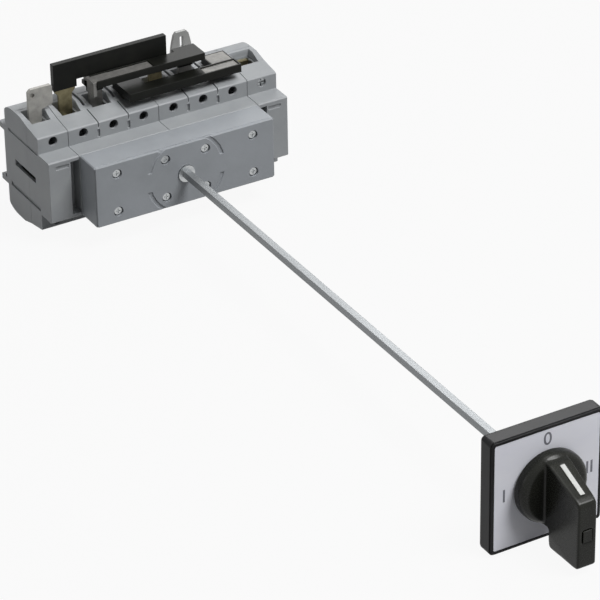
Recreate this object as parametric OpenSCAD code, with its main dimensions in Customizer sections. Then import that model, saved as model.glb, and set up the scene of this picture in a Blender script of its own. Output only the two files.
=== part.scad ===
// Changeover switch I-0-II for a 35 mm rail: two load-break switches of four poles side by side,
// a geared mechanism on their front, a long square shaft and a door plate with a lever knob.
// Millimetres. X to the right, Y into the panel, Z up. The origin is the middle of the rail seat.

/* [Switch body] */
// Width of one pole
pole_pitch = 22.5; // [22:0.25:23]
// Height of the nose that shows through the cut-out of a cover
nose_h = 45; // [44:0.5:46]
// From the rail seat to the front of the nose
nose_depth = 66; // [65:0.5:67]
// Height of the riser that holds the screw holes
riser_h = 68.8; // [68:0.2:70]
// Overall height at the cable entries
body_h = 79; // [78:0.5:80]

/* [Mechanism] */
// How far the mechanism housing stands in front of the nose
housing_depth = 21.5; // [21:0.5:23]
// Width of the mechanism housing
housing_w = 134.4; // [133:0.2:134.8]
// Teeth on each of the three gears
gear_teeth = 22; // [22:2:22]
// Module of the three gears
gear_module = 1.5; // [1.5:0.1:1.5]
// Rolling radius of the pinion that moves the contacts
pinion_r = 3.5; // [3.4:0.05:3.6]

/* [Shaft and door plate] */
// Side of the square shaft
shaft_side = 5; // [4.5:0.5:5]
// Free length of the shaft between the housing and the door plate
shaft_free = 420.5; // [200:0.5:500]
// Side of the square door plate
plate_side = 77; // [70:1:80]
// Thickness of the door plate
plate_t = 10; // [9.5:0.5:14]
// Distance between the screw holes of the door plate
plate_hole_pitch = 54; // [52:1:56]
// How far the lever stands out from the door plate
knob_proj = 42; // [40:1:46]

/* [Hidden] */

$fn = 48;
eps = 0.01;

// Planes along Y
nose_y = -nose_depth;
riser_y = nose_y + 14.8;
split_y = -35;
back_y = -2;
foot_y = 7.5;
housing_y = nose_y - housing_depth;
plate_back_y = housing_y - shaft_free;
plate_front_y = plate_back_y - plate_t;

// Heights
nose_top = nose_h / 2;
riser_top = riser_h / 2;
split_top = riser_top + 2.5;
body_top = body_h / 2;
side_gap = 0.1;

// Poles: 0 and 7 are the added outer poles, 1 to 3 and 4 to 6 the two three-pole switches
switch_w = 3 * pole_pitch;
body_half_w = 4 * pole_pitch;
function pole_x(i) = (i - 3.5) * pole_pitch;
left_poles = [0, 1, 2, 3];

// Chambers and terminals, per pole
chamber_w = 18.8;
chamber_top = 21.5;
chamber_back = -18.5;
terminal_w = 13.6;
terminal_z = 24.4;
cage = [13, 14, 10];
cage_y = -34.8;
cage_z = 24.6;
cage_wall = 1.5;
screw_z = cage_z + cage[2] / 2;
screw_hole_r = 3.3;
contact_t = 2;
contact_y = cage_y + cage[1] - cage_wall - contact_t;
tab_t = 2.5;
tab_y = contact_y - tab_t;
tab_w = 9.5;

// Contacts and carriage
finger_t = 1.5;
finger_gap = 0.2;
finger_x = [-3, 1.5];
finger_h = 26;
carriage_y = [-33, -27];
carriage_h = 12;
holder_x = [-3.2, 2];
holder_back = -19.3;

// Gears
gear_r = gear_module * gear_teeth / 2;
gear_distance = 2 * gear_r;
gear_y = -80;
gear_t = 6;
pinion_teeth = 12;
pinion_module = 2 * pinion_r / pinion_teeth;
pinion_y = [-42, -36];
spindle_r = 4;
hub_r = 6;
bearing_gap = 0.06;
hub_inner_y = -72;

// Mechanism housing
wall = 2.2;
plate_y = [-68.2, -66.2];
screw_x = [-51, -15, 15, 51];
screw_row_z = 14;
screw_head_y = housing_y + 1.2;
screw_seat_y = housing_y + 2.4;
post_r = 2.3;
groove_r = 28;
groove_w = 2.6;

// Bars that join the two switches, each from its first pole to the pole three places on
bar_end = 8.5;
bar_leg_w = 17;
sleeve_t = 0.8;

// Rail clip
clip_x = 2 * pole_pitch;
clip_plate_y = [1.3, 3.8];
clip_tab_y = [-1.5, 1];
clip_top = 55.8;
rail_half = 17.9;

// Knob
skirt_r = 23.3;
skirt_t = 9.5;
skirt_round = 4.5;
neck_r = 15;
lever_w = 12.5;
slider = [6, 22, 8];
slider_z = -13;
// The lever: foot inside the skirt, then the two ends of its sloping top
lever_foot = skirt_t - 4.5;
lever_slope_y = [skirt_t + 4, knob_proj - 4.5];
lever_slope_z = [20.8, 11.4];
lever_end_z = -35;
strip_w = 2.2;

// Finish colours
grey = [0.56, 0.58, 0.60];
dark_grey = [0.44, 0.46, 0.48];
steel = [0.72, 0.73, 0.74];
copper = [0.70, 0.62, 0.42];
tinned = [0.78, 0.77, 0.74];
black = [0.10, 0.10, 0.10];
white = [0.93, 0.93, 0.93];
ivory = [0.88, 0.86, 0.80];
silver = [0.80, 0.80, 0.84];

// A solid of the outline (Y, Z) that runs along X from x0 to x1
module along_x(x0, x1) {
    translate([x0, 0, 0]) rotate([90, 0, 90]) linear_extrude(x1 - x0) children();
}

// A solid of the outline (X, Z) that runs along Y from y0 to y1
module along_y(y0, y1) {
    translate([0, y1, 0]) rotate([90, 0, 0]) linear_extrude(y1 - y0) children();
}

// A round bar or hole along Y
module rod_y(x, z, r, y0, y1) {
    translate([x, y1, z]) rotate([90, 0, 0]) cylinder(r = r, h = y1 - y0);
}

// A box given by its lowest and highest corners
module block(low, high) {
    translate(low) cube(high - low);
}

// Draws for the left switch and, for side = 2, its mirror image on the right
module on_side(side) {
    if (side == 2) mirror([1, 0, 0]) children();
    else children();
}

// Repeats the children above and, upside down, below the middle
module top_and_bottom() {
    children();
    mirror([0, 0, 1]) children();
}

function mirrored(points) = concat(points,
    [for (i = [len(points) - 1:-1:0]) [points[i][0], -points[i][1]]]);

// Front shell: nose, riser with the screw holes, sloping shoulder
cover_outline = mirrored([[nose_y, nose_top - 0.8], [nose_y + 0.8, nose_top], [riser_y, nose_top],
    [riser_y, riser_top - 0.8], [riser_y + 0.8, riser_top], [split_y, split_top]]);

// Rear shell: cable entries, rounded back edge, rail channel with a fixed hook below
function back_curve() = [for (t = [0:15:90]) [-16 + (16 + back_y) * sin(t), body_top - 5.7 + 5.7 * cos(t)]];
base_upper = concat([[split_y, split_top], [-25, body_top]], back_curve(),
    [[back_y, 22], [foot_y, 22], [foot_y, rail_half], [0, rail_half]]);
base_lower = concat([[0, -rail_half], [1.4, -rail_half], [1.4, -15.9], [2.6, -15.9], [4.6, -rail_half],
    [foot_y, -rail_half], [foot_y, -22], [back_y, -22]],
    [for (t = [90:-15:0]) [-16 + (16 + back_y) * sin(t), -(body_top - 5.7 + 5.7 * cos(t))]],
    [[-25, -body_top], [split_y, -split_top]]);
base_outline = concat(base_upper, base_lower);

// Hollows of one pole in the rear shell: contact chamber, two terminal pockets with a lead-in, the
// slots of the fixed contacts, and a line across the top
module base_pole_cuts(i) {
    translate([pole_x(i), 0, 0]) {
        block([-chamber_w / 2, split_y - 1, -chamber_top], [chamber_w / 2, chamber_back, chamber_top]);
        top_and_bottom() {
            block([-terminal_w / 2, split_y - 1, terminal_z], [terminal_w / 2, cage_y + cage[1] + 0.2, 45]);
            block([-5, contact_y - 0.1, chamber_top - 1], [5, contact_y + contact_t + 0.1, terminal_z + 1]);
            hull() {
                block([-terminal_w / 2 - 1, split_y + 0.6, body_top], [terminal_w / 2 + 1, cage_y + cage[1] + 1, 45]);
                block([-terminal_w / 2, split_y + 1, body_top - 2.2],
                    [terminal_w / 2, cage_y + cage[1] + 0.2, body_top - 1.2]);
            }
            block([-9.6, -17.4, body_top - 0.5], [9.6, -16.6, body_top + 1]);
        }
    }
}

// The way through the pole walls for the contact carriage
module carriage_way(x0, x1) {
    block([x0, split_y - 1, -carriage_h / 2 - 0.6], [x1, carriage_y[1] + 0.6, carriage_h / 2 + 0.6]);
}

module base_shell(first, last, x0, x1) {
    difference() {
        along_x(x0, x1) polygon(base_outline);
        for (i = [first:last]) base_pole_cuts(i);
        for (i = [first:last - 1]) {
            xm = (pole_x(i) + pole_x(i + 1)) / 2;
            top_and_bottom() block([xm - 0.8, -31, 30], [xm + 0.8, -8, 45]);
        }
        top_and_bottom() translate([-switch_w, -12, 25]) rotate([0, 90, 0])
            cylinder(r = 1.6, h = 10, center = true);
    }
}

module clip_seat() {
    block([-5.4, 0.9, rail_half - 1], [5.4, 4.2, 23]);
}

module switch_base(side) {
    color(grey) on_side(side) {
        difference() {
            base_shell(1, 3, -switch_w + side_gap, -side_gap);
            carriage_way(-switch_w - 1, pole_x(3) + chamber_w / 2);
            translate([-clip_x, 0, 0]) clip_seat();
        }
        block([-clip_x - 2.4, back_y - 0.5, 32], [-clip_x + 2.4, clip_plate_y[1], 33.4]);
    }
}

module end_pole_base(side) {
    x0 = -body_half_w;
    color(grey) on_side(side) difference() {
        base_shell(0, 0, x0, -switch_w - side_gap);
        carriage_way(pole_x(0) - chamber_w / 2, -switch_w + 1);
        end_face_cuts(x0);
    }
}

// Two grooves and the open link slot of the outer end face, shared by cover and base
module end_face_cuts(x0) {
    block([x0 - 1, -50, 21], [x0 + 0.8, -7, 23]);
    block([x0 - 1, -50, -20.5], [x0 + 1.2, -7, -17.5]);
    block([x0 - 1, -45, -1.4], [x0 + 3, -15, 2.8]);
}

// Hollows of one pole in the front shell: screw tube and hole, and the small slots beside them
module cover_pole_cuts(i) {
    translate([pole_x(i), 0, 0]) top_and_bottom() {
        block([-4.5, riser_y + 2, terminal_z], [4.5, split_y + 1, 33]);
        rod_y(0, screw_z, screw_hole_r, riser_y - 1, riser_y + 3);
        block([-terminal_w / 2, split_y - 1.2, terminal_z - 0.2], [terminal_w / 2, split_y + 1, 34.9]);
    }
}

module cover_shell(first, last, x0, x1, left_wall, right_wall) {
    difference() {
        along_x(x0, x1) polygon(cover_outline);
        block([x0 + left_wall, nose_y + 2, -20.3], [x1 - right_wall, split_y + 1, 20.3]);
        for (i = [first:last]) cover_pole_cuts(i);
        for (i = [first:last - 1]) {
            xm = (pole_x(i) + pole_x(i + 1)) / 2;
            top_and_bottom() block([xm - 1, riser_y - 1, 23.6], [xm + 1, riser_y + 1.2, 29]);
            top_and_bottom() block([xm - 0.3, riser_y - 1, 30], [xm + 0.3, split_y + 1, 45]);
        }
    }
}

module switch_cover(side) {
    color(grey) on_side(side) difference() {
        cover_shell(1, 3, -switch_w + side_gap, -side_gap, 1.6, 1.6);
        block([-switch_w - 1, split_y - 1, -carriage_h / 2 - 0.6],
            [-switch_w + 3, split_y + 1, carriage_h / 2 + 0.6]);
        rod_y(-gear_distance, 0, spindle_r + 0.4, nose_y - 1, nose_y + 3);
    }
}

// Front shell of an outer pole. Beside the mechanism its nose steps back into an open recess
recess_x = [-74, -switch_w];
recess_y = nose_y + 9;
recess_h = 39;
recess_wall = 1.6;
module end_pole_cover(side) {
    x0 = -body_half_w;
    x1 = -switch_w - side_gap;
    color(grey) on_side(side) difference() {
        union() {
            cover_shell(0, 0, x0, x1, 2, 1.6);
            block([recess_x[0] - recess_wall, nose_y + 1, -recess_h / 2 - recess_wall],
                [x1 - 0.5, recess_y + recess_wall, recess_h / 2 + recess_wall]);
        }
        block([recess_x[0], nose_y - 1, -recess_h / 2], [recess_x[1], recess_y, recess_h / 2]);
        block([-84.5, nose_y - 1, 16.2], [-75.5, nose_y + 0.8, 18.8]);
        block([-switch_w - 3, split_y - 1, -carriage_h / 2 - 0.6],
            [-switch_w + 1, split_y + 1, carriage_h / 2 + 0.6]);
        end_face_cuts(x0);
    }
}

// Mechanism
module spindle_places() {
    for (x = [-gear_distance, 0, gear_distance]) translate([x, 0, 0]) children();
}

module screw_places() {
    for (x = screw_x, z = [-screw_row_z, screw_row_z]) translate([x, 0, z]) children();
}

module mechanism_plate() {
    color(steel) difference() {
        along_y(plate_y[0], plate_y[1]) housing_outline(wall + 0.2);
        spindle_places() rod_y(0, 0, spindle_r + bearing_gap, plate_y[0] - 1, plate_y[1] + 1);
        screw_places() rod_y(0, 0, 1.25, plate_y[0] - 1, plate_y[1] + 1);
    }
}

// Outline of the housing front with small cut corners
module housing_outline(inset) {
    w = housing_w / 2 - inset;
    h = nose_top - inset;
    polygon([[-w + 0.8, -h], [w - 0.8, -h], [w, -h + 0.8], [w, h - 0.8],
        [w - 0.8, h], [-w + 0.8, h], [-w, h - 0.8], [-w, -h + 0.8]]);
}

// Round groove on the front, open at the left and right
module front_groove() {
    difference() {
        rod_y(0, 0, groove_r + groove_w / 2, housing_y - 1, housing_y + 0.8);
        rod_y(0, 0, groove_r - groove_w / 2, housing_y - 2, housing_y + 2);
        block([-groove_r - 3, housing_y - 2, -7], [groove_r + 3, housing_y + 2, 7]);
    }
}

module mechanism_housing() {
    color(grey) difference() {
        union() {
            difference() {
                union() {
                    along_y(housing_y + 0.8, nose_y) housing_outline(0);
                    along_y(housing_y, housing_y + 0.8 + eps) housing_outline(0.6);
                }
                along_y(housing_y + 2.5, nose_y + 1) housing_outline(wall);
                front_groove();
            }
            screw_places() {
                rod_y(0, 0, post_r, housing_y + 2, plate_y[0]);
                rod_y(0, 0, post_r + 2.2, housing_y + 2, screw_seat_y + 1.6);
            }
        }
        rod_y(0, 0, hub_r + bearing_gap, housing_y - 1, housing_y + 4);
        screw_places() {
            rod_y(0, 0, 1.5, housing_y - 1, plate_y[0] + 1);
            rod_y(0, 0, 3.5, housing_y - 1, screw_seat_y);
        }
    }
}

module housing_screws() {
    color(steel) screw_places() difference() {
        union() {
            rod_y(0, 0, 2.7, screw_head_y, screw_seat_y);
            rod_y(0, 0, 1.25, screw_seat_y - 0.5, plate_y[1]);
        }
        block([-0.35, housing_y, -1.7], [0.35, screw_head_y + 0.7, 1.7]);
        block([-1.7, housing_y, -0.35], [1.7, screw_head_y + 0.7, 0.35]);
    }
}

// Tooth flanks from the base circle to the tip, as an involute
function involute_deg(a) = tan(a) * 180 / PI - a;
function half_angle(r, pitch_r, teeth, slack) = 90 / teeth - slack + involute_deg(20)
    - involute_deg(acos(min(1, pitch_r * cos(20) / r)));
function gear_outline(m, teeth, slack, steps = 4) =
    let (pitch_r = m * teeth / 2,
        root_r = pitch_r - 1.2 * m,
        start_r = max(pitch_r * cos(20), root_r + 0.05 * m),
        tip_r = pitch_r + 0.9 * m,
        radii = [for (j = [0:steps]) start_r + (tip_r - start_r) * j / steps])
    [for (k = [0:teeth - 1]) let (mid = k * 360 / teeth) each concat(
        [let (a = mid - half_angle(start_r, pitch_r, teeth, slack)) root_r * [cos(a), sin(a)]],
        [for (r = radii) let (a = mid - half_angle(r, pitch_r, teeth, slack)) r * [cos(a), sin(a)]],
        [for (j = [steps:-1:0]) let (r = radii[j], a = mid + half_angle(r, pitch_r, teeth, slack))
            r * [cos(a), sin(a)]],
        [let (a = mid + half_angle(start_r, pitch_r, teeth, slack)) root_r * [cos(a), sin(a)]])];

module spur_gear(bore_r, turn) {
    difference() {
        along_y(gear_y, gear_y + gear_t) rotate(turn) polygon(gear_outline(gear_module, gear_teeth, 0.35));
        rod_y(0, 0, bore_r, gear_y - 1, gear_y + gear_t + 1);
        for (a = [30:60:330]) rod_y(10.6 * cos(a), 10.6 * sin(a), 2.6, gear_y - 1, gear_y + gear_t + 1);
    }
}

module centre_gear() {
    color(ivory) spur_gear(hub_r, 0);
}

module driven_gear(side) {
    color(ivory) on_side(side) translate([-gear_distance, 0, 0]) spur_gear(spindle_r, 180 / gear_teeth);
}

module drive_spindle(side) {
    color(steel) on_side(side) translate([-gear_distance, 0, 0]) {
        difference() {
            rod_y(0, 0, spindle_r, gear_y - 3, pinion_y[0] + eps);
            clip_grooves();
        }
        along_y(pinion_y[0], pinion_y[1]) polygon(gear_outline(pinion_module, pinion_teeth, 1.2, 3));
    }
}

// Grooves for the retaining clips in front of the gear and behind the plate
clip_planes = [gear_y - 1.5, gear_y + gear_t + 0.4];
module clip_grooves() {
    for (y = clip_planes) difference() {
        rod_y(0, 0, spindle_r + 1, y, y + 1);
        rod_y(0, 0, spindle_r - 0.6, y - 1, y + 2);
    }
}

module spindle_clips(side) {
    color(steel) on_side(side) translate([-gear_distance, 0, 0]) for (y = clip_planes) difference() {
        rod_y(0, 0, spindle_r + 1.8, y + 0.05, y + 0.95);
        rod_y(0, 0, spindle_r - 0.6, y - 1, y + 2);
        block([-1.6, y - 1, -9], [1.6, y + 2, 0]);
    }
}

module square_y(side_w, y0, y1) {
    block([-side_w / 2, y0, -side_w / 2], [side_w / 2, y1, side_w / 2]);
}

module drive_hub() {
    color(steel) difference() {
        union() {
            rod_y(0, 0, hub_r, housing_y - 1, gear_y + gear_t);
            rod_y(0, 0, spindle_r, gear_y + gear_t - eps, plate_y[1]);
        }
        square_y(shaft_side, housing_y - 2, hub_inner_y);
        translate([0, -83.5, 0]) cylinder(r = 1.5, h = 10);
    }
}

module hub_set_screw() {
    color(steel) translate([0, -83.5, shaft_side / 2]) difference() {
        cylinder(r = 1.5, h = 3.2);
        translate([0, 0, 2]) cylinder(r = 0.8, h = 3, $fn = 6);
    }
}

module operating_shaft() {
    tip_y = plate_front_y + 2;
    color(steel) union() {
        square_y(shaft_side, tip_y + 1.5, hub_inner_y);
        along_y(tip_y, tip_y + 1.5 + eps) polygon([for (a = [45:90:315]) 0.62 * shaft_side * [cos(a), sin(a)]]);
    }
}

// Contacts and terminals of all eight poles
module each_pole() {
    for (side = [1, 2]) on_side(side) for (i = left_poles) translate([pole_x(i), 0, 0]) children();
}

module terminal_cages() {
    color(steel) each_pole() top_and_bottom() difference() {
        translate([-cage[0] / 2, cage_y, cage_z]) cube(cage);
        block([-cage[0] / 2 + cage_wall, cage_y + cage_wall, cage_z - 1],
            [cage[0] / 2 - cage_wall, cage_y + cage[1] - cage_wall, cage_z + cage[2] + 1]);
        rod_y(0, screw_z, 2, cage_y - 1, cage_y + 3);
    }
}

// A terminal screw; its tip rests on the tab, or stands back where the terminal is free
module terminal_screw(tip_y) {
    difference() {
        union() {
            rod_y(0, screw_z, 2, tip_y - 14, tip_y);
            rod_y(0, screw_z, 3, tip_y - 16.5, tip_y - 13);
        }
        block([-4, tip_y - 17, screw_z - 0.5], [4, tip_y - 15.2, screw_z + 0.5]);
        block([-0.5, tip_y - 17, screw_z - 4], [0.5, tip_y - 15.2, screw_z + 4]);
    }
}

module terminal_screws() {
    free_tip = cage_y + cage_wall + 0.1;
    color(steel) for (i = [0:7]) translate([pole_x(i), 0, 0]) {
        terminal_screw(i < 7 ? tab_y : free_tip);
        mirror([0, 0, 1]) terminal_screw(free_tip);
    }
}

module fixed_contacts() {
    top_z = cage_z + cage[2] - 1;
    color(copper) each_pole() top_and_bottom() along_y(contact_y, contact_y + contact_t)
        polygon([[4, 8], [9, 8], [9, 19.5], [tab_w / 2, 21.6], [tab_w / 2, top_z], [-tab_w / 2, top_z],
            [-tab_w / 2, 19.6], [4, 19.6]]);
}

module arc_plates() {
    color(steel) each_pole() top_and_bottom() for (z = [14, 15.8, 17.6])
        block([-8.8, chamber_back - 7, z], [2.8, chamber_back - 0.2, z + 0.9]);
}

// Contact carriage: a bar through all four poles, a holder in each, and a rack over the pinion
function rack_tooth(x) =
    let (p = PI * pinion_module, h = p / 4 - 0.07, tip = pinion_r - 0.85 * pinion_module,
        root = pinion_r + 1.25 * pinion_module)
    [[x - h - tan(20) * (root - pinion_r), root], [x - h + tan(20) * (pinion_r - tip), tip],
        [x + h - tan(20) * (pinion_r - tip), tip], [x + h + tan(20) * (root - pinion_r), root]];
rack_pitch = PI * pinion_module;
rack_span = 5 * rack_pitch;
rack_outline = concat([[-rack_span - 1, carriage_h / 2], [-rack_span - 1, pinion_r + 1.25 * pinion_module]],
    [for (k = [-5:4]) each rack_tooth((k + 0.5) * rack_pitch)],
    [[rack_span + 1, pinion_r + 1.25 * pinion_module], [rack_span + 1, carriage_h / 2]]);

module finger_pair(grow) {
    for (y = [contact_y - finger_gap - finger_t, contact_y + contact_t + finger_gap])
        block([finger_x[0] - grow, y - grow, -finger_h / 2 - grow],
            [finger_x[1] + grow, y + finger_t + grow, finger_h / 2 + grow]);
}

module contact_carriage(side) {
    color(black) on_side(side) difference() {
        union() {
            block([pole_x(0) + holder_x[0], carriage_y[0], -carriage_h / 2],
                [pole_x(3) + holder_x[1], carriage_y[1], carriage_h / 2]);
            for (i = left_poles) translate([pole_x(i), 0, 0])
                block([holder_x[0], carriage_y[1] - 1, -5], [holder_x[1], holder_back, 5]);
            translate([-gear_distance, 0, 0]) along_y(pinion_y[0] + 0.5, carriage_y[0] + 1)
                polygon(rack_outline);
        }
        for (i = left_poles) translate([pole_x(i), 0, 0]) finger_pair(0);
    }
}

module moving_contacts(side) {
    color(copper) on_side(side) for (i = left_poles) translate([pole_x(i), 0, 0]) finger_pair(0);
}

// Bars. Each leg is narrow in its terminal and in the cable entry, and wide above the body
leg_low = cage_z + 1;
leg_half_w = bar_leg_w / 2 - 1;
leg_flare = 3;
function leg_outline(x, wide_z, top_z) = [[x - tab_w / 2, leg_low], [x + tab_w / 2, leg_low],
    [x + tab_w / 2, wide_z - leg_flare], [x + leg_half_w, wide_z], [x + leg_half_w, top_z],
    [x - leg_half_w, top_z], [x - leg_half_w, wide_z], [x - tab_w / 2, wide_z - leg_flare]];
bar_1_z = [56.6, 70.9];
bar_1_wide = 50;
strip_t = 2.5;
bar_2_z = [52.3, 57.2];
bar_2_y = [-40, -28];
bar_2_open = [-38.7, 4];
bar_2_flap_z = 46;
bar_2_sleeve_z = 44;
bar_3_z = [40.6, 46.6];
bar_3_y = [-49, -38.5];
bar_3_open = [38, 63.75];
bar_1_x = [pole_x(1), pole_x(4)];
bar_2_x = [pole_x(2), pole_x(5)];
bar_3_x = [pole_x(3), pole_x(6)];

module bridge_bar_1() {
    color(copper) along_y(tab_y, contact_y) union() {
        for (x = bar_1_x) polygon(leg_outline(x, bar_1_wide, bar_1_z[1] - 1));
        translate([bar_1_x[0] - bar_end + 1, bar_1_z[0] + 1])
            square([bar_1_x[1] - bar_1_x[0] + 2 * bar_end - 2, bar_1_z[1] - bar_1_z[0] - 2]);
    }
}

module bar_sleeve_1() {
    color(black) difference() {
        along_y(tab_y - sleeve_t, contact_y + sleeve_t) union() {
            translate([bar_1_x[0] - bar_end, bar_1_z[0]])
                square([bar_1_x[1] - bar_1_x[0] + 2 * bar_end, bar_1_z[1] - bar_1_z[0]]);
            for (x = bar_1_x) translate([x - bar_leg_w / 2, bar_1_wide + 1.5])
                square([bar_leg_w, bar_1_z[0] - bar_1_wide]);
        }
        bridge_bar_1();
    }
}

// A flat bar in front of its legs: strip, two arms back to the legs, two legs down
module flat_bar(xs, ys, top_z) {
    low = top_z - strip_t;
    wide_z = max(low - leg_flare, body_top + leg_flare + 0.2);
    block([xs[0] - bar_end + 1, ys[0] + 1.2, low], [xs[1] + bar_end - 1, ys[1] - 1.2, top_z]);
    for (x = xs) {
        block([x - leg_half_w, ys[1] - 2, low], [x + leg_half_w, contact_y, top_z]);
        along_y(tab_y, contact_y) polygon(leg_outline(x, wide_z, low + 1));
    }
}

// The black tray of a flat bar, from x0 to x1. It has no lid between open[0] and open[1]
module flat_tray(xs, ys, zs, x0, x1, open) {
    difference() {
        union() {
            block([x0, ys[0], zs[0]], [x1, ys[1], zs[1]]);
            for (x = xs) {
                lid = x > open[0] && x < open[1] ? 0 : sleeve_t;
                block([max(x - bar_leg_w / 2, x0), ys[1] - 1, zs[0]],
                    [x + bar_leg_w / 2, contact_y + sleeve_t, zs[1] - sleeve_t + lid]);
            }
        }
        block([open[0], ys[0] + 1.2, zs[1] - sleeve_t], [open[1], ys[1] - 1.2, zs[1] + 1]);
    }
}

// Its left end is bent down in front of the tray
module bridge_bar_2() {
    left = bar_2_x[0] - bar_end + 1;
    top_z = bar_2_z[1] - sleeve_t;
    color(tinned) union() {
        flat_bar(bar_2_x, bar_2_y, top_z);
        block([left, bar_2_y[0] + 1.2, bar_2_flap_z], [left + strip_t, bar_2_y[1] - 1.2, top_z]);
    }
}

// The tray and, below it, a sleeve on each leg
module bar_channel_2() {
    half_w = tab_w / 2 + sleeve_t;
    wide_z = bar_2_z[1] - sleeve_t - strip_t - leg_flare;
    color(black) difference() {
        union() {
            flat_tray(bar_2_x, bar_2_y, bar_2_z, bar_2_open[0], bar_2_x[1] + bar_end, bar_2_open);
            for (x = bar_2_x) translate([x, 0, 0]) along_y(tab_y - sleeve_t, contact_y + sleeve_t)
                polygon([[-half_w, bar_2_sleeve_z], [half_w, bar_2_sleeve_z],
                    [half_w, wide_z - leg_flare - 1], [bar_leg_w / 2, wide_z - 0.5],
                    [bar_leg_w / 2, bar_2_z[0] + 1], [-bar_leg_w / 2, bar_2_z[0] + 1],
                    [-bar_leg_w / 2, wide_z - 0.5], [-half_w, wide_z - leg_flare - 1]]);
        }
        bridge_bar_2();
    }
}

module bridge_bar_3() {
    color(tinned) flat_bar(bar_3_x, bar_3_y, bar_3_z[1] - sleeve_t);
}

module bar_channel_3() {
    color(black) difference() {
        flat_tray(bar_3_x, bar_3_y, bar_3_z, bar_3_x[0] - bar_end, bar_3_x[1] + bar_end, bar_3_open);
        bridge_bar_3();
    }
}

// Terminal tab of the left outer pole, wide above the body, with a round dimple near its upper corner
end_tab_x = [-83.5, -65.6];
end_tab_top = 57.3;
module end_terminal_tab() {
    x = pole_x(0);
    low = body_top + 1.5;
    color(tinned) difference() {
        along_y(tab_y, contact_y) polygon([[x - tab_w / 2, leg_low], [x + tab_w / 2, leg_low],
            [x + tab_w / 2, low], [end_tab_x[1], low + 2.5], [end_tab_x[1], end_tab_top - 1.2],
            [end_tab_x[1] - 1.2, end_tab_top], [end_tab_x[0] + 2, end_tab_top], [end_tab_x[0], end_tab_top - 2],
            [end_tab_x[0], low], [x - tab_w / 2, low]]);
        rod_y(end_tab_x[0] + 3, end_tab_top - 4.6, 1.8, tab_y - 1, tab_y + 1.4);
    }
}

module joining_pins() {
    color(steel) for (side = [1, 2]) on_side(side) top_and_bottom()
        translate([-switch_w, -12, 25]) rotate([0, 90, 0]) cylinder(r = 1.6, h = 9.4, center = true);
}

// Rail clip: hook behind the rail, window for its spring, and a tab above the body
module clip_front() {
    difference() {
        polygon([[-5, 16], [5, 16], [5, 36], [8.4, 38.5], [8.2, 41], [7.3, 47], [5.8, 53.4], [4, clip_top],
            [-4, clip_top], [-5.8, 53.4], [-7.3, 47], [-8.2, 41], [-8.4, 38.5], [-5, 36]]);
        translate([-3.2, 23.4]) square([6.4, 11.2]);
        translate([-1.2, 44]) square([2.4, 8]);
    }
}

module rail_clip(side) {
    color(dark_grey) on_side(side) translate([-clip_x, 0, 0]) intersection() {
        along_y(-5, 8) clip_front();
        along_x(-9, 9) polygon([[clip_plate_y[0], 18], [clip_plate_y[0] + 1.2, 15.5],
            [clip_plate_y[1], 15.5], [clip_plate_y[1], 37], [clip_tab_y[1], 40.5],
            [clip_tab_y[1], clip_top + 1], [clip_tab_y[0], clip_top + 1], [clip_tab_y[0], 39.5],
            [clip_plate_y[0], 36]]);
    }
}

// Folded wire spring in the window, between the clip and the peg of the base
module clip_spring(side) {
    z0 = 23.45;
    z1 = 31.95;
    step = (z1 - z0 - 0.6) / 5;
    color(steel) on_side(side) translate([-clip_x, 0, 0]) along_y(2, 3.2) union() {
        for (k = [0:5]) translate([-2.6, z0 + k * step]) square([5.2, 0.6]);
        for (k = [0:4]) translate([k % 2 == 0 ? 2 : -2.6, z0 + k * step]) square([0.6, step + 0.5]);
    }
}

// Door plate
module rounded_plate(side_w, r) {
    a = side_w / 2 - r;
    polygon([for (q = [0:3], t = [0:15:90]) let (c = q * 90)
        [a * (q == 0 || q == 3 ? 1 : -1) + r * cos(c + t), a * (q < 2 ? 1 : -1) + r * sin(c + t)]]);
}

module plate_holes() {
    for (x = [-1, 1], z = [-1, 1]) translate([x * plate_hole_pitch / 2, 0, z * plate_hole_pitch / 2])
        children();
}

module escutcheon_plate() {
    color(black) difference() {
        union() {
            difference() {
                union() {
                    along_y(plate_front_y + 1, plate_back_y) rounded_plate(plate_side, 3);
                    along_y(plate_front_y, plate_front_y + 1 + eps) rounded_plate(plate_side - 1.2, 2.4);
                }
                along_y(plate_front_y + 3.4, plate_back_y + 1) rounded_plate(plate_side - 6, 2);
                along_y(plate_front_y - 1, plate_front_y + 0.8) rounded_plate(plate_side - 5, 1.5);
            }
            plate_holes() rod_y(0, 0, 5, plate_front_y + 3, plate_back_y);
            rod_y(0, 0, neck_r + 3.5, plate_front_y + 3, plate_front_y + 7);
        }
        plate_holes() rod_y(0, 0, 2.1, plate_front_y + 4, plate_back_y + 1);
        rod_y(0, 0, neck_r + 0.1, plate_front_y - 2, plate_back_y);
    }
}

module label_plate() {
    color(silver) difference() {
        along_y(plate_front_y + 0.1, plate_front_y + 0.8) rounded_plate(plate_side - 5.2, 1.4);
        rod_y(0, 0, neck_r + 0.4, plate_front_y - 2, plate_front_y + 2);
    }
}

module door_gasket() {
    color(black) difference() {
        along_y(plate_back_y, plate_back_y + 1.2) rounded_plate(plate_side - 1, 2.5);
        along_y(plate_back_y - 1, plate_back_y + 2) rounded_plate(plate_side - 6, 2);
    }
}

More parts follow.
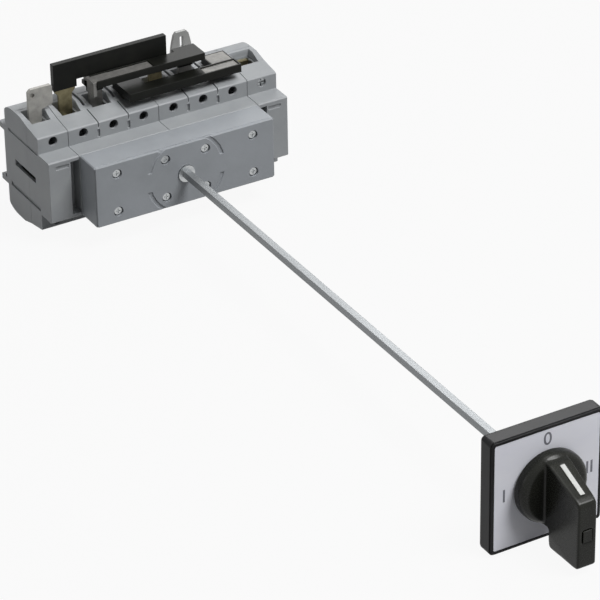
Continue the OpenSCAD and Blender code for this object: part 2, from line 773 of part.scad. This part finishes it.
// Lever seen from the side: (Y, Z), from the skirt to the flat front
function knob_y(p) = plate_front_y - p;
lever_side = [[knob_y(lever_foot), lever_slope_z[0] + 0.5], [knob_y(lever_slope_y[0]), lever_slope_z[0]],
    [knob_y(lever_slope_y[1]), lever_slope_z[1]], [knob_y(knob_proj - 1), lever_slope_z[1] - 1.8],
    [knob_y(knob_proj), lever_slope_z[1] - 3.8], [knob_y(knob_proj), lever_end_z + 1.5],
    [knob_y(knob_proj - 1.5), lever_end_z], [knob_y(skirt_t + 5), lever_end_z],
    [knob_y(skirt_t + 3.5), lever_end_z + 1.5], [knob_y(skirt_t + 3.5), 1.5 - skirt_r],
    [knob_y(lever_foot), 1.5 - skirt_r]];

module lever() {
    intersection() {
        along_x(-12, 12) polygon(lever_side);
        hull() {
            translate([0, knob_y(knob_proj), 0]) along_y(0, 0.5)
                polygon(mirrored([[-lever_w / 2, 20], [lever_w / 2 - 0.4, 20]]));
            translate([0, knob_y(lever_foot), 0]) along_y(-0.5, 0)
                polygon(mirrored([[-lever_w / 2 - 1.6, 22], [lever_w / 2 + 1.2, 22]]));
            translate([0, knob_y(knob_proj), lever_end_z - 1]) along_y(0, 0.5) square([lever_w, 2], center = true);
            translate([0, knob_y(lever_foot), lever_end_z - 1]) along_y(-0.5, 0)
                square([lever_w + 1.5, 2], center = true);
        }
    }
}

// White line let into the sloping top of the lever
module indicator_strip() {
    run = lever_slope_y[1] - lever_slope_y[0];
    slope = atan2(lever_slope_z[0] - lever_slope_z[1], run);
    translate([-strip_w / 2, knob_y(lever_slope_y[0]), lever_slope_z[0]]) rotate([slope, 0, 0])
        translate([0, 1.5 - run / cos(slope), -0.7]) cube([strip_w, run / cos(slope) - 3, 0.9]);
}

module slider_space(grow, y0) {
    block([-slider[0] / 2 - grow, y0, slider_z - slider[2] / 2 - grow],
        [slider[0] / 2 + grow, knob_y(knob_proj - slider[1]), slider_z + slider[2] / 2 + grow]);
}

// Skirt of the knob with a rounded front edge
skirt_outline = concat([[0, 0], [skirt_r - 0.6, 0], [skirt_r, 0.8]],
    [for (t = [0:18:90]) [skirt_r, skirt_t] + skirt_round * [cos(t) - 1, sin(t) - 1]], [[0, skirt_t]]);

module knob() {
    color(black) difference() {
        union() {
            translate([0, knob_y(0.3), 0]) rotate([90, 0, 0]) rotate_extrude() polygon(skirt_outline);
            lever();
            rod_y(0, 0, neck_r, knob_y(1), plate_front_y + 7.5);
        }
        rod_y(0, 0, 10, knob_y(6), plate_front_y + 9);
        indicator_strip();
        slider_space(0.3, knob_y(knob_proj + 2));
    }
}

module knob_bush() {
    color(steel) difference() {
        rod_y(0, 0, 10, knob_y(6), plate_front_y + 9);
        square_y(shaft_side + 0.4, knob_y(3), plate_front_y + 10);
    }
}

module knob_retainer() {
    color(steel) difference() {
        rod_y(0, 0, neck_r + 2.5, plate_front_y + 7.1, plate_front_y + 8.6);
        rod_y(0, 0, 10, plate_front_y + 6, plate_front_y + 10);
        rod_y(0, 0, neck_r, plate_front_y + 6, plate_front_y + 7.5);
    }
}

module knob_indicator() {
    color(white) indicator_strip();
}

module padlock_slider() {
    color(dark_grey) difference() {
        slider_space(0, knob_y(knob_proj + 0.3));
        translate([0, knob_y(knob_proj - 5), slider_z]) rotate([0, 90, 0]) cylinder(r = 2.6, h = 20, center = true);
    }
}

switch_base(1);  // switch_base_1
switch_base(2);  // switch_base_2
end_pole_base(1);  // end_pole_base_1
end_pole_base(2);  // end_pole_base_2
switch_cover(1);  // switch_cover_1
switch_cover(2);  // switch_cover_2
end_pole_cover(1);  // end_pole_cover_1
end_pole_cover(2);  // end_pole_cover_2
mechanism_plate();
mechanism_housing();
housing_screws();
terminal_cages();
terminal_screws();
fixed_contacts();
arc_plates();
bridge_bar_1();
bridge_bar_2();
bridge_bar_3();
bar_sleeve_1();
bar_channel_2();
bar_channel_3();
end_terminal_tab();
joining_pins();
drive_hub();
centre_gear();
operating_shaft();
hub_set_screw();
driven_gear(1);  // driven_gear_1
drive_spindle(1);  // drive_spindle_1
driven_gear(2);  // driven_gear_2
drive_spindle(2);  // drive_spindle_2
spindle_clips(1);  // spindle_clips_1
spindle_clips(2);  // spindle_clips_2
contact_carriage(1);  // contact_carriage_1
moving_contacts(1);  // moving_contacts_1
contact_carriage(2);  // contact_carriage_2
moving_contacts(2);  // moving_contacts_2
rail_clip(1);  // rail_clip_1
clip_spring(1);  // clip_spring_1
rail_clip(2);  // rail_clip_2
clip_spring(2);  // clip_spring_2
escutcheon_plate();
label_plate();
door_gasket();
knob();
knob_bush();
knob_retainer();
knob_indicator();
padlock_slider();
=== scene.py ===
# Looks of the changeover switch: grey moulded switch body, black insulated bars, square steel shaft
# and door plate with its lever knob.
# Metres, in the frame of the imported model: X to the right, Y into the panel, Z up.

import math

import bpy
from mathutils import Euler, Matrix, Vector


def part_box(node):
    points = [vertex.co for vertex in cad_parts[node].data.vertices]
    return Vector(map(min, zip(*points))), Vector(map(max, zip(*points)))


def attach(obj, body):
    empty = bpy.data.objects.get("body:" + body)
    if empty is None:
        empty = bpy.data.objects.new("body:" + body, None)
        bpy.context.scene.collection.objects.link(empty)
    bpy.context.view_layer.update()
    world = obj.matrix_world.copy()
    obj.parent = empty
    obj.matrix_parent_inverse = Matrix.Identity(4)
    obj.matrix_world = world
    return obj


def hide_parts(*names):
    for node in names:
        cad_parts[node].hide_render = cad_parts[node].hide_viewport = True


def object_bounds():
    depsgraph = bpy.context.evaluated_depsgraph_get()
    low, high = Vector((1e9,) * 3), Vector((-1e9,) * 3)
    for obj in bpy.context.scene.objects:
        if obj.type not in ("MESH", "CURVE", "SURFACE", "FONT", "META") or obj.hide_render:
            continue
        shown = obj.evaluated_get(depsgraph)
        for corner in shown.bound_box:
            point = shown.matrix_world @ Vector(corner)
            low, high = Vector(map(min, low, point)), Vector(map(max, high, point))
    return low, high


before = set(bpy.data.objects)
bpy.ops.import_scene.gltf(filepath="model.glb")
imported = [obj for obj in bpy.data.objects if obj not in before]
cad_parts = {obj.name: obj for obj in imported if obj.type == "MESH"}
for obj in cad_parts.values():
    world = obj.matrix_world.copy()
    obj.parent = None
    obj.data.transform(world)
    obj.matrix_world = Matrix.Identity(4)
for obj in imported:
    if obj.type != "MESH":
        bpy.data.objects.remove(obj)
cad_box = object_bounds()

MM = 0.001


# Camera, fitted to points of the photograph: place in m, three angles, lens and sensor width in mm,
# and the nearest and farthest that it sees in m
CAMERA_PLACE = (-0.9862, -1.9643, 1.1693)
CAMERA_AZIMUTH = math.radians(-29.711)
CAMERA_ELEVATION = math.radians(30.91)
CAMERA_ROLL = math.radians(-1.004)
CAMERA_LENS = 219.5
SENSOR_WIDTH = 36.0
CLIP_NEAR = 0.05
CLIP_FAR = 50


def place_camera():
    """The photograph's viewpoint."""
    bpy.ops.object.camera_add(location=CAMERA_PLACE)
    camera = bpy.context.object
    camera.name = "photo_camera"
    level = Euler((math.pi / 2 - CAMERA_ELEVATION, 0, CAMERA_AZIMUTH)).to_matrix()
    camera.rotation_euler = (level @ Matrix.Rotation(CAMERA_ROLL, 3, "Z")).to_euler()
    camera.data.lens = CAMERA_LENS
    camera.data.sensor_width = SENSOR_WIDTH
    camera.data.clip_start = CLIP_NEAR
    camera.data.clip_end = CLIP_FAR
    bpy.context.scene.camera = camera


def linear(code):
    """The opaque linear colour of an sRGB hex code."""
    parts = [int(code[i : i + 2], 16) / 255 for i in (0, 2, 4)]
    return (*(c / 12.92 if c <= 0.04045 else ((c + 0.055) / 1.055) ** 2.4 for c in parts), 1.0)


def add_node(tree, kind, settings=(), links=()):
    """Adds a node, sets its sockets and properties, and links its inputs."""
    node = tree.nodes.new(kind)
    for key, value in dict(settings).items():
        if isinstance(key, str) and hasattr(node, key):
            setattr(node, key, value)
        else:
            node.inputs[key].default_value = value
    for key, source in dict(links).items():
        tree.links.new(source, node.inputs[key])
    return node


def new_finish(name):
    """A material with nothing in it yet, and its node tree."""
    material = bpy.data.materials.new(name)
    material.use_nodes = True
    tree = material.node_tree
    tree.nodes.clear()
    return material, tree


def surface_place(tree, size_mm, stretch):
    """Object coordinates where a pattern step is size_mm, or longer along an axis stretched below 1."""
    place = add_node(tree, "ShaderNodeTexCoord")
    scale = tuple(share / (size_mm * MM) for share in stretch)
    mapping = add_node(tree, "ShaderNodeMapping", {"Scale": scale}, {"Vector": place.outputs["Object"]})
    return mapping.outputs[0]


def finish_surface(name, dark, pale, cloud_mm, grain_mm, rough, bump_mm, metallic=0.0, specular=0.5,
                   stretch=(1, 1, 1), cloud_stretch=(1, 1, 1)):
    """A surface with a slow change of colour, a fine grain in relief and an uneven gloss."""
    material, tree = new_finish(name)
    clouds = add_node(tree, "ShaderNodeTexNoise", {"Scale": 1.0, "Detail": 4.0, "Roughness": 0.6},
                      {"Vector": surface_place(tree, cloud_mm, cloud_stretch)})
    grain = add_node(tree, "ShaderNodeTexNoise", {"Scale": 1.0, "Detail": 3.0, "Roughness": 0.55},
                     {"Vector": surface_place(tree, grain_mm, stretch)})
    shade = add_node(tree, "ShaderNodeMapRange", {"From Min": 0.3, "From Max": 0.7},
                     {"Value": clouds.outputs["Fac"]})
    colour = add_node(tree, "ShaderNodeMix", {"data_type": "RGBA", 6: linear(dark), 7: linear(pale)},
                      {0: shade.outputs[0]})
    gloss = add_node(tree, "ShaderNodeMapRange",
                     {"From Min": 0.25, "From Max": 0.75, "To Min": rough[0], "To Max": rough[1]},
                     {"Value": grain.outputs["Fac"]})
    relief = add_node(tree, "ShaderNodeBump", {"Strength": 0.6, "Distance": bump_mm * MM},
                      {"Height": grain.outputs["Fac"]})
    shader = add_node(tree, "ShaderNodeBsdfPrincipled",
                      {"Metallic": metallic, "Specular IOR Level": specular},
                      {"Base Color": colour.outputs[2], "Roughness": gloss.outputs[0],
                       "Normal": relief.outputs[0]})
    add_node(tree, "ShaderNodeOutputMaterial", {}, {"Surface": shader.outputs[0]})
    return material


# Finishes, with sizes in mm. Moulded, plated and brushed grain is really 0.02 to 0.2 mm wide, too fine
# for the picture, so grain_mm draws it coarser. Orange peel, hot-dip waves and the slow changes of
# colour are about as wide as in life.

# Light grey polyamide from a spark-eroded mould: matt, faintly mottled
body_polyamide = finish_surface(
    "moulded_grey_polyamide", "909396", "9A9D9F", cloud_mm=26, grain_mm=0.5, rough=(0.42, 0.58),
    bump_mm=0.03, specular=0.35)
# The same plastic on the mechanism housing, from another batch: slightly bluer
housing_polyamide = finish_surface(
    "moulded_blue_grey_polyamide", "8D9195", "979BA0", cloud_mm=34, grain_mm=0.5, rough=(0.40, 0.55),
    bump_mm=0.03, specular=0.35)
# Moulded acetal of the rail clips: smoother and paler than the body
clip_acetal = finish_surface(
    "moulded_grey_acetal", "9C9D9C", "A9A9A7", cloud_mm=12, grain_mm=0.8, rough=(0.32, 0.45), bump_mm=0.01)
# Black glass-filled polyamide of the knob: dark with a broad olive-grey sheen
knob_polyamide = finish_surface(
    "glass_filled_black_polyamide", "161713", "20211C", cloud_mm=14, grain_mm=0.6, rough=(0.20, 0.32),
    bump_mm=0.02, specular=0.2)
# Moulded black ABS of the door plate: neutral and evenly dull
plate_abs = finish_surface(
    "moulded_black_abs", "1A1A1B", "222224", cloud_mm=22, grain_mm=0.5, rough=(0.30, 0.44),
    bump_mm=0.015, specular=0.12)
# Baked epoxy powder on the bar sleeve: black, with a slight orange peel
sleeve_powder = finish_surface(
    "black_epoxy_powder", "0E0F0E", "171815", cloud_mm=9, grain_mm=0.7, rough=(0.36, 0.52),
    bump_mm=0.03, specular=0.12)
# Moulded black polycarbonate trays: a little smoother than the powder
tray_polycarbonate = finish_surface(
    "moulded_black_polycarbonate", "0E0F0D", "171814", cloud_mm=12, grain_mm=0.6, rough=(0.28, 0.42),
    bump_mm=0.015, specular=0.14)
# Drawn steel bar with bright zinc: faint lines along the drawing direction Y
shaft_steel = finish_surface(
    "zinc_plated_drawn_steel", "828587", "8E9193", cloud_mm=6, grain_mm=0.5, rough=(0.42, 0.50),
    bump_mm=0.003, metallic=0.6, stretch=(1, 0.02, 1), cloud_stretch=(1, 0.06, 1))
# Zinc-plated sheet and screws: a mottled silver
zinc_steel = finish_surface(
    "zinc_plated_steel", "A9ACAE", "C2C4C4", cloud_mm=3, grain_mm=0.5, rough=(0.26, 0.42),
    bump_mm=0.006, metallic=1.0)
# Rolled copper gone dull and olive in the air
aged_copper = finish_surface(
    "tarnished_rolled_copper", "6E6750", "8C8468", cloud_mm=5, grain_mm=0.6, rough=(0.34, 0.52),
    bump_mm=0.008, metallic=1.0)
# Tin-plated copper bars: soft grey metal with hot-dip waves
tinned_copper = finish_surface(
    "hot_tinned_copper", "6E6D6C", "888783", cloud_mm=4, grain_mm=1.2, rough=(0.46, 0.60),
    bump_mm=0.02, metallic=0.6)
# The same tin on the end terminal, made paler and warmer
pale_tinned_copper = finish_surface(
    "paler_tinned_copper", "94938F", "ABA9A4", cloud_mm=4, grain_mm=1.2, rough=(0.46, 0.60),
    bump_mm=0.02, metallic=0.4)
# Natural acetal gears: milky white and smooth
gear_acetal = finish_surface(
    "natural_white_acetal", "DAD8CE", "E6E4DC", cloud_mm=8, grain_mm=0.4, rough=(0.30, 0.42), bump_mm=0.008)
# Glass-filled thermoset of the contact carriages: dark and dry
carriage_thermoset = finish_surface(
    "moulded_dark_thermoset", "1C1D20", "2A2B2E", cloud_mm=7, grain_mm=0.5, rough=(0.40, 0.56),
    bump_mm=0.02)
# Silver anodised aluminium label: a fine satin grain across
label_aluminium = finish_surface(
    "satin_anodised_aluminium", "E9EAF4", "F1F2F9", cloud_mm=30, grain_mm=0.3, rough=(0.44, 0.58),
    bump_mm=0.004, stretch=(0.04, 1, 1), cloud_stretch=(0.5, 1, 1))
# Nitrile rubber gasket: black and dull
gasket_rubber = finish_surface(
    "nitrile_rubber", "131313", "1C1C1C", cloud_mm=6, grain_mm=0.4, rough=(0.62, 0.80), bump_mm=0.02)
# White filled acrylic of the pointer line: chalky, slightly uneven
indicator_paint = finish_surface(
    "white_filled_acrylic", "BEBFBD", "CCCDCA", cloud_mm=4, grain_mm=0.5, rough=(0.40, 0.54),
    bump_mm=0.008, specular=0.2)
# Screen-printed ink of the position marks: mid grey and flat
mark_ink = finish_surface(
    "screen_print_ink", "6C6D76", "7A7B84", cloud_mm=3, grain_mm=0.3, rough=(0.50, 0.62), bump_mm=0.004)


def only_select(piece):
    """Deselects everything, then selects this piece and makes it active."""
    bpy.ops.object.select_all(action="DESELECT")
    piece.select_set(True)
    bpy.context.view_layer.objects.active = piece


def select_faces(piece, indices):
    """Goes to edit mode with just these faces selected."""
    only_select(piece)
    bpy.ops.object.mode_set(mode="EDIT")
    bpy.ops.mesh.select_mode(type="FACE")
    bpy.ops.mesh.select_all(action="DESELECT")
    bpy.ops.object.mode_set(mode="OBJECT")
    for index in indices:
        piece.data.polygons[index].select = True
    bpy.ops.object.mode_set(mode="EDIT")


def set_finish(piece, material):
    """Gives the whole piece one material."""
    piece.data.materials.clear()
    piece.data.materials.append(material)


def settle(piece):
    """Puts the piece's place, turn and size into its mesh."""
    only_select(piece)
    bpy.ops.object.transform_apply(location=True, rotation=True, scale=True)


def apply_all(piece):
    """Works the piece's modifiers into its mesh."""
    only_select(piece)
    for modifier in list(piece.modifiers):
        bpy.ops.object.modifier_apply(modifier=modifier.name)


def hand_over(piece, body, slot, *nodes):
    """Rides the piece on its body and, where given, hides the solids that it stands for. The slot is not
    used.
    """
    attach(piece, body)
    if nodes:
        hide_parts(*nodes)


# Solids that keep their shape as it is, with the finish of the real piece
PLAIN_NODES = {
    zinc_steel: ["mechanism_plate", "terminal_cages", "arc_plates", "joining_pins", "drive_hub",
                 "hub_set_screw", "drive_spindle_1", "drive_spindle_2", "spindle_clips_1",
                 "spindle_clips_2", "knob_bush", "knob_retainer", "clip_spring_1", "clip_spring_2",
                 "terminal_screws", "housing_screws"],
    aged_copper: ["fixed_contacts", "moving_contacts_1", "moving_contacts_2"],
    gear_acetal: ["centre_gear", "driven_gear_1", "driven_gear_2"],
    carriage_thermoset: ["contact_carriage_1", "contact_carriage_2"],
    gasket_rubber: ["door_gasket"],
}
for material, nodes in PLAIN_NODES.items():
    for node in nodes:
        set_finish(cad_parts[node], material)


# Copies of solids. Loose triangles are merged where their corners are this close, in mm.
MERGE_GAP = 0.003
# Turn of an edge past which it is rounded, where it is long enough, and past which it stays crisp
ROUNDED_TURN = math.radians(32)
CRISP_TURN = math.radians(20)


def merged_copy(node, material):
    """A copy of a CAD solid with its loose triangles merged. Both get the finish."""
    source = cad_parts[node]
    set_finish(source, material)
    piece = bpy.data.objects.new(node + "_finished", source.data.copy())
    bpy.context.scene.collection.objects.link(piece)
    only_select(piece)
    bpy.ops.object.mode_set(mode="EDIT")
    bpy.ops.mesh.select_all(action="SELECT")
    bpy.ops.mesh.remove_doubles(threshold=MERGE_GAP * MM)
    bpy.ops.object.mode_set(mode="OBJECT")
    return piece


def weigh_edges(piece, shortest_mm):
    """Gives the long sharp edges to the rounding, and keeps the other sharp ones crisp."""
    beside = {}
    for face in piece.data.polygons:
        for key in face.edge_keys:
            beside.setdefault(key, []).append(face.normal)
    weights = piece.data.attributes.new("bevel_weight_edge", "FLOAT", "EDGE")
    for edge in piece.data.edges:
        normals = beside[edge.key]
        turn = normals[0].angle(normals[1], 0) if len(normals) == 2 else 0
        first, last = (piece.data.vertices[index].co for index in edge.vertices)
        if turn > ROUNDED_TURN and (first - last).length > shortest_mm * MM:
            weights.data[edge.index].value = 1.0
        elif turn > CRISP_TURN:
            edge.use_edge_sharp = True


def round_edges(piece, width_mm, shortest_mm):
    """Rounds the long sharp edges, and keeps the flat faces flat in their shading."""
    weigh_edges(piece, shortest_mm)
    rounding = piece.modifiers.new("rounded_edges", "BEVEL")
    rounding.limit_method = "WEIGHT"
    rounding.width = width_mm * MM
    rounding.segments = 2
    rounding.use_clamp_overlap = False
    rounding.miter_outer = "MITER_ARC"
    rounding.face_strength_mode = "FSTR_ALL"
    apply_all(piece)
    only_select(piece)
    bpy.ops.object.shade_smooth(keep_sharp_edges=True)
    weights = piece.modifiers.new("flat_faces_lead", "WEIGHTED_NORMAL")
    weights.keep_sharp = True
    weights.use_face_influence = True
    apply_all(piece)


# Round groove in the front of the mechanism housing, in mm: level of its floor, how much deeper
# it is made, and how far from the shaft it reaches
GROOVE_FLOOR = -86.7
GROOVE_DEEPER = 1.1
GROOVE_REACH = 24
# A face belongs to that floor within this gap of its level in mm, and where its normal has less Y than this
LEVEL_GAP = 0.05
FRONT_NORMAL = -0.99


def sink_groove(piece):
    """Moves the floor of the round groove further in, which leaves the groove dark."""
    floor = [face.index for face in piece.data.polygons
             if math.hypot(face.center.x, face.center.z) < GROOVE_REACH * MM
             and face.normal.y < FRONT_NORMAL
             and abs(face.center.y - GROOVE_FLOOR * MM) < LEVEL_GAP * MM]
    select_faces(piece, floor)
    bpy.ops.transform.translate(value=(0, GROOVE_DEEPER * MM, 0))
    bpy.ops.object.mode_set(mode="OBJECT")


# White pointer line: times as wide as its solid, and raised by this many mm along Y and Z
LINE_WIDER = 1.35
LINE_RAISED = (-0.08, 0.12)


def broaden_line(piece):
    """Makes the pointer line wider to both sides of the middle, and lifts it off the lever."""
    select_faces(piece, range(len(piece.data.polygons)))
    bpy.ops.transform.resize(value=(LINE_WIDER, 1, 1), center_override=(0, 0, 0))
    bpy.ops.transform.translate(value=(0, LINE_RAISED[0] * MM, LINE_RAISED[1] * MM))
    bpy.ops.object.mode_set(mode="OBJECT")


RESHAPED_NODES = {"mechanism_housing": sink_groove, "knob_indicator": broaden_line}


def carry_over(node, body, slot, material, width_mm, shortest_mm=0.0):
    """A copy of a CAD solid with its edges rounded, in the solid's place."""
    piece = merged_copy(node, material)
    if node in RESHAPED_NODES:
        RESHAPED_NODES[node](piece)
    round_edges(piece, width_mm, shortest_mm)
    hand_over(piece, body, slot, node)


# Solids whose edges are rounded: node, body, slot, finish, rounding and shortest rounded edge in mm.
# The rims of small holes stay as they are.
ROUNDED_NODES = [
    ("switch_base_1", "switch", "housing", body_polyamide, 0.3, 0.5),
    ("switch_base_2", "switch", "housing", body_polyamide, 0.3, 0.5),
    ("end_pole_base_1", "switch", "housing", body_polyamide, 0.3, 0.5),
    ("end_pole_base_2", "switch", "housing", body_polyamide, 0.3, 0.5),
    ("switch_cover_1", "switch", "housing", body_polyamide, 0.3, 0.9),
    ("switch_cover_2", "switch", "housing", body_polyamide, 0.3, 0.9),
    ("end_pole_cover_1", "switch", "housing", body_polyamide, 0.3, 0.9),
    ("end_pole_cover_2", "switch", "housing", body_polyamide, 0.3, 0.9),
    ("mechanism_housing", "switch", "mechanism_case", housing_polyamide, 0.35, 0.8),
    ("bridge_bar_1", "switch", "copper", aged_copper, 0.25),
    ("bridge_bar_2", "switch", "tinned_copper", tinned_copper, 0.25),
    ("bridge_bar_3", "switch", "tinned_copper", tinned_copper, 0.25),
    ("bar_sleeve_1", "switch", "bar_insulation", sleeve_powder, 0.2),
    ("bar_channel_2", "switch", "bar_insulation", tray_polycarbonate, 0.2),
    ("bar_channel_3", "switch", "bar_insulation", tray_polycarbonate, 0.2),
    ("end_terminal_tab", "switch", "tinned_copper", pale_tinned_copper, 0.25, 0.5),
    ("rail_clip_1", "clip_1", "clip_plastic", clip_acetal, 0.3),
    ("rail_clip_2", "clip_2", "clip_plastic", clip_acetal, 0.3),
    ("operating_shaft", "shaft_set", "shaft_steel", shaft_steel, 0.35),
    ("escutcheon_plate", "door_plate", "plate_plastic", plate_abs, 0.4, 0.9),
    ("label_plate", "door_plate", "label", label_aluminium, 0.1, 0.5),
    ("knob_indicator", "knob_set", "indicator", indicator_paint, 0.1),
    ("padlock_slider", "padlock_bolt", "knob_plastic", knob_polyamide, 0.3),
]
for row in ROUNDED_NODES:
    carry_over(*row)


# Knob: size of its even cells in mm, how strongly one smoothing pass acts, and the number of passes
KNOB_CELL = 0.4
KNOB_EVENING = 0.5
KNOB_PASSES = 36


def blend_knob():
    """A copy of the knob whose forms run into each other as in a mould, in the solid's place."""
    knob = merged_copy("knob", knob_polyamide)
    cells = knob.modifiers.new("even_cells", "REMESH")
    cells.mode = "VOXEL"
    cells.voxel_size = KNOB_CELL * MM
    cells.use_smooth_shade = True
    blend = knob.modifiers.new("blended_forms", "SMOOTH")
    blend.factor = KNOB_EVENING
    blend.iterations = KNOB_PASSES
    apply_all(knob)
    hand_over(knob, "knob_set", "knob_plastic", "knob")


blend_knob()


# Printed position marks on the label: I on the left, 0 above and II on the right. Sizes in mm, where the
# stroke is what the letters gain on each side, and the set-back is measured from the front of the plate.
# A row gives the mark's name, its letters, and its share of the radius along X and Z.
MARK_RADIUS = 29.3
MARK_SIZE = 12.0
MARK_STROKE = 0.1
MARK_SET_BACK = 0.08
INK_THICKNESS = 0.02
PLATE_FRONT_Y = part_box("escutcheon_plate")[0].y
MARKS = [("mark_zero", "0", 0.0, 1.0), ("mark_one", "I", -1.0, 0.0), ("mark_two", "II", 1.0, 0.0)]


def print_mark(name, letters, x_share, z_share):
    """One position mark, a thin layer of ink on the label."""
    bpy.ops.object.text_add(rotation=(math.pi / 2, 0, 0))
    text = bpy.context.object
    text.data.body = letters
    text.data.align_x = "CENTER"
    text.data.align_y = "CENTER"
    text.data.size = MARK_SIZE * MM
    text.data.extrude = INK_THICKNESS * MM
    text.data.offset = MARK_STROKE * MM
    only_select(text)
    bpy.ops.object.convert(target="MESH")
    mark = bpy.context.object
    mark.name = name
    radius = MARK_RADIUS * MM
    mark.location = (x_share * radius, PLATE_FRONT_Y + MARK_SET_BACK * MM, z_share * radius)
    settle(mark)
    set_finish(mark, mark_ink)
    hand_over(mark, "door_plate", "label")


for row in MARKS:
    print_mark(*row)


# Studio: gap between object and floor in mm, the floor's side in m, the share of it that is white to
# sight, the grey that takes the shadow, and the strength of the fill from all round
FLOOR_GAP = 0.2
FLOOR_Z = cad_box[0].z - FLOOR_GAP * MM
FLOOR_SIZE = 12
FLOOR_WHITE = 0.93
FLOOR_GREY = "949494"
WORLD_FILL = 0.10

# Lamps: name, place, target, diameter in m, watts and beam in degrees. A large soft key light from the
# upper right front, weak lights above, behind and on the left, and a narrow one on top of the door plate.
LAMPS = [
    ("key_light", (1.15, -1.85, 3.4), (0, -0.2, 0), 2.0, 160, 180),
    ("top_light", (0.35, -0.1, 2.2), (0, -0.4, 0), 0.8, 6, 180),
    ("back_light", (1.0, 1.5, 1.2), (0, -0.2, 0), 1.2, 8, 180),
    ("left_light", (-2.2, 0.2, 0.9), (0, -0.1, 0), 1.0, 5, 180),
    ("plate_light", (0.45, 0.2, 0.58), (0, -0.51, 0.04), 0.35, 0.08, 40),
]


def white_to_sight(tree):
    """1 for rays that show the surroundings: straight to the camera, in gloss and through glass."""
    rays = add_node(tree, "ShaderNodeLightPath")
    straight = add_node(tree, "ShaderNodeMath", {"operation": "MAXIMUM"},
                        {0: rays.outputs["Is Camera Ray"], 1: rays.outputs["Is Glossy Ray"]})
    seen = add_node(tree, "ShaderNodeMath", {"operation": "MAXIMUM"},
                    {0: straight.outputs[0], 1: rays.outputs["Is Transmission Ray"]})
    return seen.outputs[0]


def lay_floor():
    """A floor that looks white and still shows the object's shadow."""
    bpy.ops.mesh.primitive_plane_add(size=FLOOR_SIZE, location=(0, 0, FLOOR_Z))
    floor = bpy.context.object
    floor.name = "floor"
    material, tree = new_finish("white_studio_floor")
    share = add_node(tree, "ShaderNodeMath", {"operation": "MULTIPLY", 1: FLOOR_WHITE},
                     {0: white_to_sight(tree)})
    matt = add_node(tree, "ShaderNodeBsdfDiffuse", {"Color": linear(FLOOR_GREY)})
    glow = add_node(tree, "ShaderNodeEmission", {"Color": linear("FFFFFF"), "Strength": 1.0})
    mixed = add_node(tree, "ShaderNodeMixShader", {},
                     {0: share.outputs[0], 1: matt.outputs[0], 2: glow.outputs[0]})
    add_node(tree, "ShaderNodeOutputMaterial", {}, {"Surface": mixed.outputs[0]})
    set_finish(floor, material)


def add_lamp(name, place, target, size, power, beam_deg):
    """A round soft box that looks at its target."""
    bpy.ops.object.light_add(type="AREA", location=place)
    lamp = bpy.context.object
    lamp.name = name
    lamp.data.shape = "DISK"
    lamp.data.size = size
    lamp.data.energy = power
    lamp.data.spread = math.radians(beam_deg)
    lamp.rotation_euler = (Vector(place) - Vector(target)).to_track_quat("Z", "Y").to_euler()


def light_world():
    """A weak fill from all round, and white to sight."""
    world = bpy.data.worlds.new("studio")
    bpy.context.scene.world = world
    world.use_nodes = True
    tree = world.node_tree
    tree.nodes.clear()
    fill = add_node(tree, "ShaderNodeBackground", {"Color": linear("FFFFFF"), "Strength": WORLD_FILL})
    white = add_node(tree, "ShaderNodeBackground", {"Color": linear("FFFFFF"), "Strength": 1.0})
    mixed = add_node(tree, "ShaderNodeMixShader", {},
                     {0: white_to_sight(tree), 1: fill.outputs[0], 2: white.outputs[0]})
    add_node(tree, "ShaderNodeOutputWorld", {}, {"Surface": mixed.outputs[0]})


place_camera()
lay_floor()
light_world()
for row in LAMPS:
    add_lamp(*row)
bpy.context.scene.view_settings.view_transform = "Standard"
